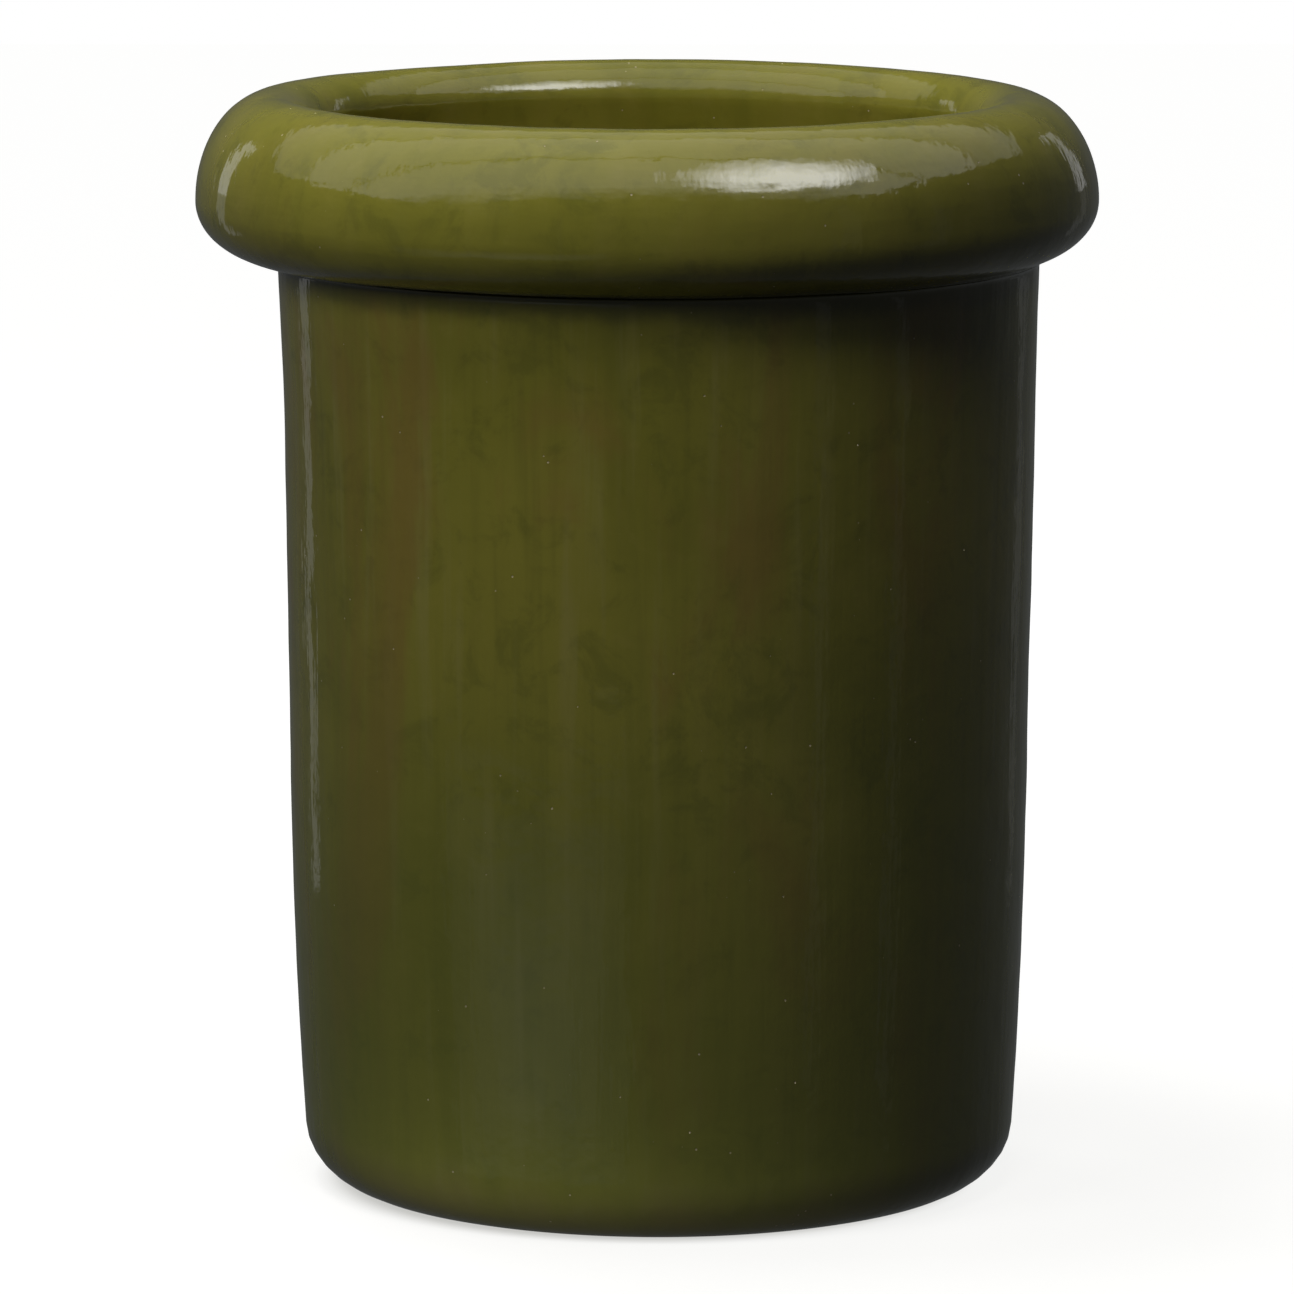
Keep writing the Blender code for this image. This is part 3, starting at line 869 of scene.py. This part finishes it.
# %% Aim the falling lights
pot_only = bpy.data.collections.new("pot_only")
pot_only.objects.link(body)
bounces = [("left", (-0.115, -0.190), 0.24, 4.6), ("front", (0.035, -0.205), 0.22, 1.3)]
for side, place, width, radiance in bounces:
    name, aim = f"foot_bounce_{side}", (0.0, 0.0, 0.004)
    bounce = soft_light(name, (*place, 0.004), aim, width, 0.007, radiance, False)
    bounce.light_linking.receiver_collection = pot_only

falling = [
    ("back_left", (-1.1, 1.7, 1.0), (0.0, 0.0, 0.25), 0.8, 5.0, (1.0, 1.0, 1.0)),
    ("back_right", (1.1, 1.8, 0.9), (0.0, 0.0, 0.25), 0.8, 5.0, (1.0, 1.0, 1.0)),
    ("low_left", (-0.78, -0.83, 0.95), (0.0, 0.0, 0.30), 0.5, 7.0, (1.0, 0.98, 0.93)),
    ("high_front", (0.02, -1.30, 2.15), (0.0, 0.0, 0.35), 0.6, 8.8, (1.0, 0.98, 0.94)),
    ("top", (-0.30, 0.0, 2.0), (-0.05, 0.0, 0.5), 0.6, 19.0, (1.0, 0.99, 0.97)),
]
for name, place, aim, side, radiance, colour in falling:
    soft_light(name, place, aim, side, side, radiance, False, colour)
print("lights in all:", len(bpy.data.lights))

# %% [markdown]
# ## The room around
# A world colour is the cheapest room. This one needs a white backdrop, a dim grey to mirror at the pot's
# edges, and almost no light from all round. Light Path tells these rays apart, so one world gives all three.

# %% Colour the room
world = bpy.data.worlds.new("studio")
bpy.context.scene.world = world
world.use_nodes = True
nodes = world.node_tree.nodes
path = nodes.new("ShaderNodeLightPath").outputs
room = nodes.new("ShaderNodeMix")
room.data_type = "RGBA"
room.inputs[6].default_value = (0.020, 0.020, 0.018, 1.0)
room.inputs[7].default_value = (0.074, 0.078, 0.080, 1.0)
backdrop = nodes.new("ShaderNodeMix")
backdrop.data_type = "RGBA"
backdrop.inputs[7].default_value = (1.0, 1.0, 1.0, 1.0)
world.node_tree.links.new(path["Is Glossy Ray"], room.inputs["Factor"])
world.node_tree.links.new(path["Is Camera Ray"], backdrop.inputs["Factor"])
world.node_tree.links.new(room.outputs[2], backdrop.inputs[6])
world.node_tree.links.new(backdrop.outputs[2], nodes["Background"].inputs["Color"])
print("the room has", len(nodes), "nodes")

# %% [markdown]
# ## The floor
# The pot stands on pale paper. Plain paper would go grey as the light falls away from the pot, so this paper
# glows, a little more with distance. A glow can't be shaded, so the contact shadow under the rounded foot is
# painted into the paper's colour, as a dark ring close round the foot. It stays there in every view.

# %% Lay the paper
bpy.ops.object.select_all(action="DESELECT")
bpy.ops.mesh.primitive_plane_add(size=12.0, location=(0.0, 0.0, 0.0))
floor = bpy.context.object
floor.name = "studio_floor"
paper = Recipe("pale_paper")
cloudy_grey = paper.blend(paper.noise(2.0), (0.20, 0.20, 0.20), (0.22, 0.22, 0.22))
paper.put(paper.shader.inputs["Base Color"], cloudy_grey)
distance = paper.add("ShaderNodeVectorMath", operation="LENGTH")
paper.put(distance.inputs[0], paper.place)
away = distance.outputs["Value"]
glow = paper.blend(paper.band(away, 0.4, 2.2), (0.87, 0.87, 0.86), (0.985, 0.985, 0.98))
# Painted shadow: a dark ring in the paper's glow stands for the contact shadow round the foot.
glow = paper.blend(paper.band(away, 0.136, 0.154), (0.56, 0.56, 0.54), glow)
paper.put(paper.shader.inputs["Emission Color"], glow)
paper.shader.inputs["Emission Strength"].default_value = 1.0
paper.put(paper.shader.inputs["Roughness"], 0.9)
paper.shader.inputs["Specular IOR Level"].default_value = 0.0
floor.data.materials.append(paper.material)
floor.visible_glossy = False
floor.visible_diffuse = False
print("paper is", round(floor.dimensions.x), "m wide")

# %% [markdown]
# ## The camera
# A long lens from four metres keeps the sides nearly parallel, as in a catalogue. It looks down
# by about nine degrees, which opens the mouth to a thin ellipse.

# %% Place the camera
scene = bpy.context.scene
scene.view_settings.view_transform = "Standard"
eye = bpy.data.cameras.new("eye")
eye.lens = 245.85
eye.sensor_width = 36.0
eye.clip_end = 40.0
camera = bpy.data.objects.new("eye", eye)
scene.collection.objects.link(camera)
camera.location = (0.0, -4.0, 0.8702)
camera.rotation_euler = (radians(81.125), 0.0, 0.0)
scene.camera = camera
print("camera looks down by", round(90 - degrees(camera.rotation_euler.x), 1), "degrees")
